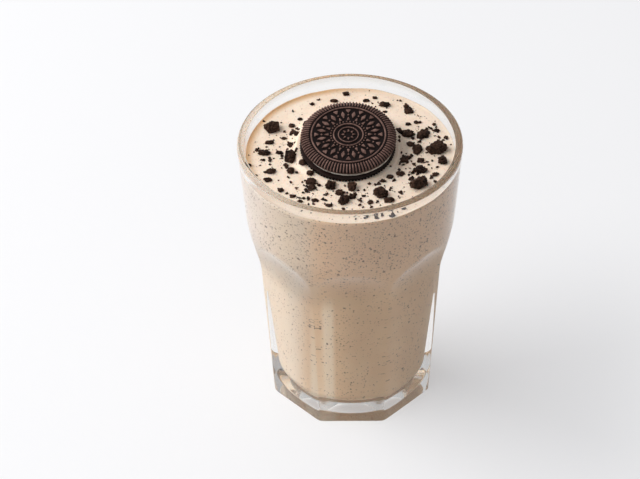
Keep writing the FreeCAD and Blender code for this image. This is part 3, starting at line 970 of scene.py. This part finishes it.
def shake_material(speck_group):
    """Thick beige shake, flecked with ground biscuit, most of all in its upper part."""
    made, tree, surface = new_material("shake")
    place = put(tree, "ShaderNodeTexCoord").outputs["Object"]
    axes = put(tree, "ShaderNodeSeparateXYZ", {"Vector": place})
    x, y, z = (axes.outputs[axis] for axis in "XYZ")
    cloud = put(tree, "ShaderNodeTexNoise", {"Vector": place, "Scale": 60.0, "Detail": 3.0})
    clouds = ranged(tree, cloud.outputs[0], 0.3, 0.7)
    milk = mix_colour(tree, clouds, (0.76, 0.51, 0.305, 1), (0.81, 0.57, 0.35, 1))
    upper = ranged(tree, z, 0.082, 0.104)
    banded = mix_colour(tree, upper, milk, (0.87, 0.62, 0.42, 1))

    def eased(value, start, end):
        return ranged(tree, value, start, end, kind="SMOOTHSTEP")

    # painted highlight: a bright strip low at the front left, for light bent through an edge of the glass;
    # painted reflection: two paler steps towards the far left, for the glass's sheen on that side
    painted_highlight_strip = product(tree, eased(x, -0.0145, -0.0115), eased(x, -0.0065, -0.0092))
    painted_highlight_strip = product(tree, painted_highlight_strip, eased(y, -0.002, -0.012))
    painted_highlight_strip = product(tree, painted_highlight_strip, ranged(tree, z, 0.080, 0.066))
    banded = mix_colour(tree, painted_highlight_strip, banded, (0.88, 0.70, 0.51, 1))
    banded = mix_colour(tree, eased(x, -0.012, -0.022), banded, (0.79, 0.645, 0.50, 1))
    banded = mix_colour(tree, eased(x, -0.026, -0.042), banded, (0.75, 0.64, 0.55, 1))

    # the open surface: paler, with a tan line of foam round its back left edge
    open_top = put(tree, "ShaderNodeAttribute", attribute_name="open_top").outputs["Fac"]
    lid = mix_colour(tree, clouds, (0.86, 0.68, 0.53, 1), (0.90, 0.75, 0.61, 1))
    flat_place = put(tree, "ShaderNodeVectorMath", {0: place, 1: (1.0, 1.0, 0.0)}, operation="MULTIPLY")
    out = put(tree, "ShaderNodeVectorMath", {0: flat_place.outputs[0]}, operation="LENGTH")
    back_left = {0: flat_place.outputs[0], 1: (-0.85, 0.53, 0.0)}
    toward = put(tree, "ShaderNodeVectorMath", back_left, operation="DOT_PRODUCT")
    rim_band = eased(out.outputs["Value"], 0.0418, 0.0458)
    foam = product(tree, rim_band, ranged(tree, toward.outputs["Value"], 0.002, 0.034))
    lid = mix_colour(tree, foam, lid, (0.66, 0.41, 0.22, 1))
    colour = mix_colour(tree, open_top, banded, lid)

    # specks in three sizes: gathered in drifts, thicker in the band, faint on the open surface
    drift = put(tree, "ShaderNodeTexNoise", {"Vector": place, "Scale": 130.0, "Detail": 2.0})
    gather = ranged(tree, drift.outputs[0], 0.36, 0.64, 0.3, 1.4)
    crowd = product(tree, ranged(tree, upper, 0.0, 1.0, 0.5, 1.25), gather)
    shown = ranged(tree, open_top, 0.0, 1.0, 1.0, 0.2)
    for scale, size, many, strength, dark in (
        (1000.0, 0.42, 1.0, 0.7, (0.27, 0.155, 0.09, 1)),
        (640.0, 0.34, 0.75, 0.85, (0.17, 0.085, 0.046, 1)),
        (370.0, 0.28, 0.42, 0.95, (0.11, 0.052, 0.028, 1)),
    ):
        group = tree.nodes.new("ShaderNodeGroup")
        group.node_tree = speck_group
        tree.links.new(place, group.inputs["Vector"])
        group.inputs["Scale"].default_value = scale
        group.inputs["Size"].default_value = size
        group.inputs["Softness"].default_value = 0.14
        tree.links.new(product(tree, crowd, many), group.inputs["Share"])
        faded = product(tree, group.outputs["Mask"], product(tree, shown, strength))
        colour = mix_colour(tree, faded, colour, dark)
    tree.links.new(colour, surface.inputs["Base Color"])
    surface.inputs["Roughness"].default_value = 0.42
    surface.inputs["Specular IOR Level"].default_value = 0.4
    surface.inputs["Subsurface Weight"].default_value = 0.25
    surface.inputs["Subsurface Radius"].default_value = (1.0, 0.6, 0.4)
    surface.inputs["Subsurface Scale"].default_value = 0.002
    froth = put(tree, "ShaderNodeTexNoise", {"Vector": place, "Scale": 900.0, "Detail": 3.0})
    bump = put(tree, "ShaderNodeBump", {"Strength": 0.25, "Distance": 0.0003, "Height": froth.outputs[0]})
    tree.links.new(bump.outputs[0], surface.inputs["Normal"])
    return made


def cocoa_material(name, grain_group, grain, dark, light, bump_depth, shine, groove_shade=None):
    """Dark baked dough; where a groove shade colour is given, painted shade fills what the relief leaves low.
    """
    made, tree, surface = new_material(name)
    group = tree.nodes.new("ShaderNodeGroup")
    group.node_tree = grain_group
    tree.links.new(put(tree, "ShaderNodeTexCoord").outputs["Object"], group.inputs["Vector"])
    group.inputs["Grain"].default_value = grain
    group.inputs["Dark"].default_value = dark
    group.inputs["Light"].default_value = light
    bump = put(
        tree, "ShaderNodeBump", {"Strength": 0.7, "Distance": bump_depth, "Height": group.outputs["Height"]}
    )
    colour = group.outputs["Color"]
    # painted shade: grooves and other low parts of the relief are darkened towards the groove shade colour
    if groove_shade:
        raised = put(tree, "ShaderNodeAttribute", attribute_name="raised")
        out_of_groove_shade = ranged(tree, raised.outputs["Fac"], 0.1, 0.85)
        colour = mix_colour(tree, out_of_groove_shade, groove_shade, colour)
    tree.links.new(colour, surface.inputs["Base Color"])
    tree.links.new(group.outputs["Roughness"], surface.inputs["Roughness"])
    tree.links.new(bump.outputs[0], surface.inputs["Normal"])
    surface.inputs["Specular IOR Level"].default_value = shine
    return made


def cream_material():
    made, tree, surface = new_material("cream_filling")
    place = put(tree, "ShaderNodeTexCoord").outputs["Object"]
    smear = put(tree, "ShaderNodeTexNoise", {"Vector": place, "Scale": 700.0, "Detail": 4.0})
    tone = ranged(tree, smear.outputs[0], 0.4, 0.7)
    colour = mix_colour(tree, tone, (0.80, 0.76, 0.69, 1), (0.42, 0.36, 0.31, 1))
    bump = put(tree, "ShaderNodeBump", {"Strength": 0.4, "Distance": 0.0003, "Height": smear.outputs[0]})
    tree.links.new(colour, surface.inputs["Base Color"])
    tree.links.new(bump.outputs[0], surface.inputs["Normal"])
    surface.inputs["Roughness"].default_value = 0.55
    return made


# ---- stage ----
def floor_and_light():
    material, _, surface = new_material("pale floor")
    surface.inputs["Base Color"].default_value = (0.47, 0.47, 0.475, 1)
    surface.inputs["Roughness"].default_value = 0.7
    surface.inputs["Emission Color"].default_value = (1.0, 1.0, 1.02, 1)
    surface.inputs["Emission Strength"].default_value = 0.40
    surface.inputs["Specular IOR Level"].default_value = 0.2
    reach = 4000
    under = -0.08
    corners = [(-reach, -reach, under), (reach, -reach, under), (reach, reach, under), (-reach, reach, under)]
    floor = piece("floor", corners, [(0, 1, 2, 3)], material)
    world = bpy.data.worlds.new("soft room")
    world.use_nodes = True
    bpy.context.scene.world = world
    sky = world.node_tree
    background = sky.nodes["Background"]
    toward = put(sky, "ShaderNodeTexCoord").outputs["Generated"]
    side = put(sky, "ShaderNodeVectorMath", {0: toward, 1: (-0.75, 0.1, 0.65)}, operation="DOT_PRODUCT")
    glow = ranged(sky, side.outputs["Value"], -0.7, 0.9, kind="SMOOTHSTEP")
    colour = mix_colour(sky, glow, (0.30, 0.295, 0.29, 1), (0.92, 0.93, 0.95, 1))
    sky.links.new(colour, background.inputs["Color"])
    background.inputs["Strength"].default_value = 0.60
    key = bpy.data.lights.new("window light", "AREA")
    key.shape = "RECTANGLE"
    key.size, key.size_y = 2.0, 1.6
    key.energy = 51.0
    lamp = bpy.data.objects.new("window light", key)
    lamp.location = (-1.5, 0.2, 1.35)
    lamp.rotation_mode = "QUATERNION"
    lamp.rotation_quaternion = (Vector((0, 0, 0.07)) - Vector(lamp.location)).to_track_quat("-Z", "Y")
    lamp.visible_transmission = False
    lamp.visible_glossy = False
    bpy.context.scene.collection.objects.link(lamp)


def camera():
    pitch, heading, roll = math.radians(40.63), 0.0197, math.radians(-0.995)
    turn = Matrix.Rotation(heading, 3, "Z")
    ahead = turn @ Vector((0, math.cos(pitch), -math.sin(pitch)))
    right = turn @ Vector((1, 0, 0))
    up = right.cross(ahead)
    c, s = math.cos(roll), math.sin(roll)
    across, upward = c * right + s * up, c * up - s * right
    data = bpy.data.cameras.new("camera")
    data.lens = 148.6
    data.clip_start, data.clip_end = 0.05, 20
    eye = bpy.data.objects.new("camera", data)
    place = Matrix((across, upward, -ahead)).transposed().to_4x4()
    place.translation = Vector((-0.01394, -0.00027, 0.08098)) - ahead * 1.2035
    eye.matrix_world = place
    bpy.context.scene.collection.objects.link(eye)
    bpy.context.scene.camera = eye


def dress():
    grain, speck_group, copies, strew = baked_grain(), specks(), ring_of_copies(), strewn_crumbs()
    clear = glass_material()
    shake = shake_material(speck_group)
    # the near-black third colour is painted shade for the grooves of the relief
    dark, light, groove_shade = (0.10, 0.053, 0.043, 1), (0.28, 0.168, 0.138, 1), (0.006, 0.002, 0.0014, 1)
    cocoa = cocoa_material("cocoa_biscuit", grain, 1500.0, dark, light, 0.0002, 0.2, groove_shade)
    dark, light = (0.007, 0.003, 0.002, 1), (0.095, 0.048, 0.031, 1)
    crumb = cocoa_material("cocoa_crumb", grain, 1100.0, dark, light, 0.0004, 0.12)
    filling = cream_material()
    place = biscuit_place()
    over = place @ Matrix.Translation(LOWER_SHIFT - Vector((0, 0, SANDWICH))) @ Matrix.Scale(-1, 4, (0, 0, 1))

    made = [
        (tumbler(clear), "clear_glass", "glass"),
        (drink(shake), "shake", "milkshake"),
        (wafer("upper_wafer", copies, cocoa, place), "cocoa_biscuit", "biscuit_upper"),
        (wafer("lower_wafer", copies, cocoa, over, LOWER_LIT_SHARE), "cocoa_biscuit", "biscuit_lower"),
        (cream_disc(filling, place), "cream_filling", "biscuit_cream"),
    ]
    lumps = [node for node in sorted(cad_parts) if node.startswith("crumb_")]
    made += [(rough_lump(node, crumb), "cocoa_crumb", node) for node in lumps]
    made.append((medium_crumbs(crumb), "cocoa_crumb", None))
    strewn = grown(
        "fine_crumbs",
        crumb_bed(),
        strew,
        {
            "Crumbs per square metre": 420000.0,
            "Smallest": 0.00016,
            "Largest": 0.00105,
            "Seed": 4,
            "Finish": crumb,
        },
    )
    made.append((strewn, "cocoa_crumb", None))
    for shown, slot, node in made:
        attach(shown, "root")
        if node:
            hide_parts(node)


bpy.context.scene.view_settings.view_transform = "Standard"
camera()
floor_and_light()
dress()
